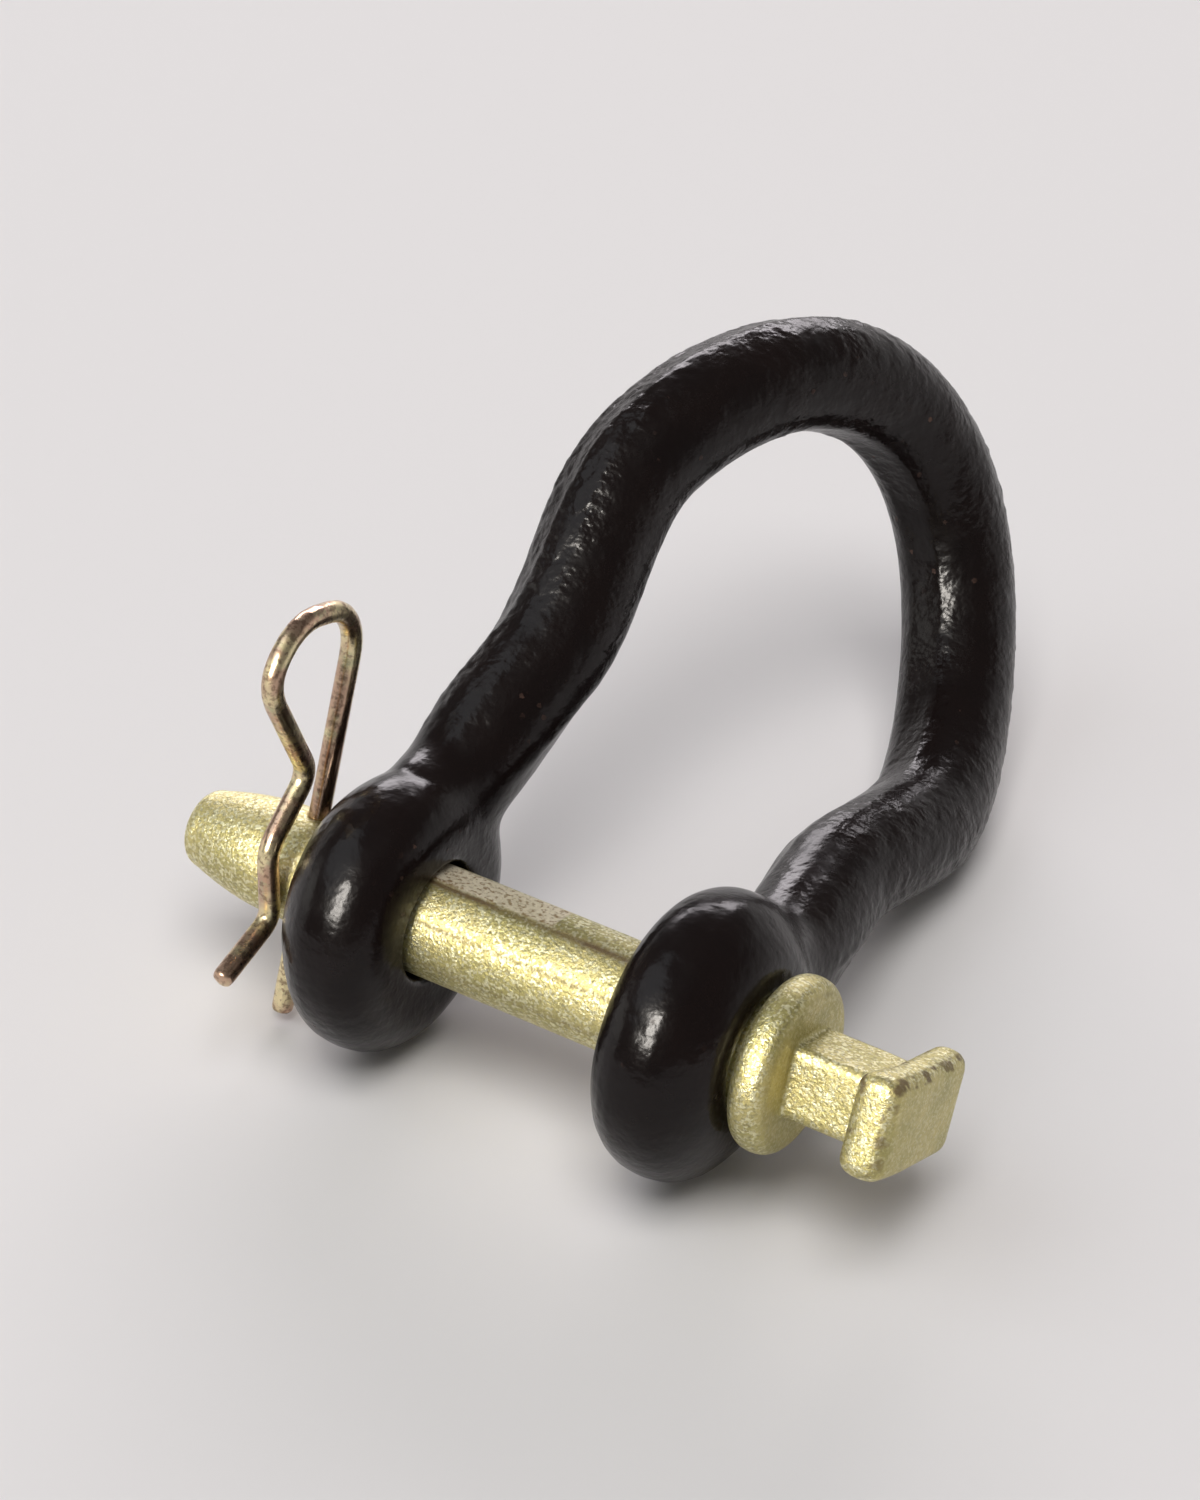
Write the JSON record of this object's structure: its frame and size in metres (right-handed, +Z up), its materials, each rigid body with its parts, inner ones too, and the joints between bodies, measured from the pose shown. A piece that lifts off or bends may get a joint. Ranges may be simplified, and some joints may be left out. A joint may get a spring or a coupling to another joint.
{
  "type": "twisted clevis",
  "caption": "Forged twisted clevis: a bow twisted between its eyes and crown, closed by a T-headed pin with a hairpin clip.",
  "frame": {"origin": "on the floor, under the middle of the clevis as it lies", "axes": "+X along the pin towards its T head, +Y from the pin to the bow's crown, +Z up"},
  "size_m": [0.1836, 0.217, 0.1169],
  "materials": {
    "bow_paint": "glossy black paint over a forged surface",
    "pin_zinc": "yellow zinc plating, grainy",
    "clip_zinc": "yellow zinc plating, smooth"
  },
  "bodies": {
    "bow": {"clevis_bow": "bow_paint"},
    "pin": {"clevis_pin": "pin_zinc"},
    "hairpin": {"hairpin_clip": "clip_zinc"}
  },
  "joints": [
    {"name": "pin_turn", "type": "hinge", "parent": "bow", "child": "pin", "pos_m": [0, -0.0743, 0.03431], "axis": [1, 0, 0], "continuous": true},
    {"name": "hairpin_pull", "type": "slide", "parent": "pin", "child": "hairpin", "axis": [0, 0.3746, 0.9272], "range_m": [0, 0.046], "deforming": ["hairpin_clip"]}
  ]
}
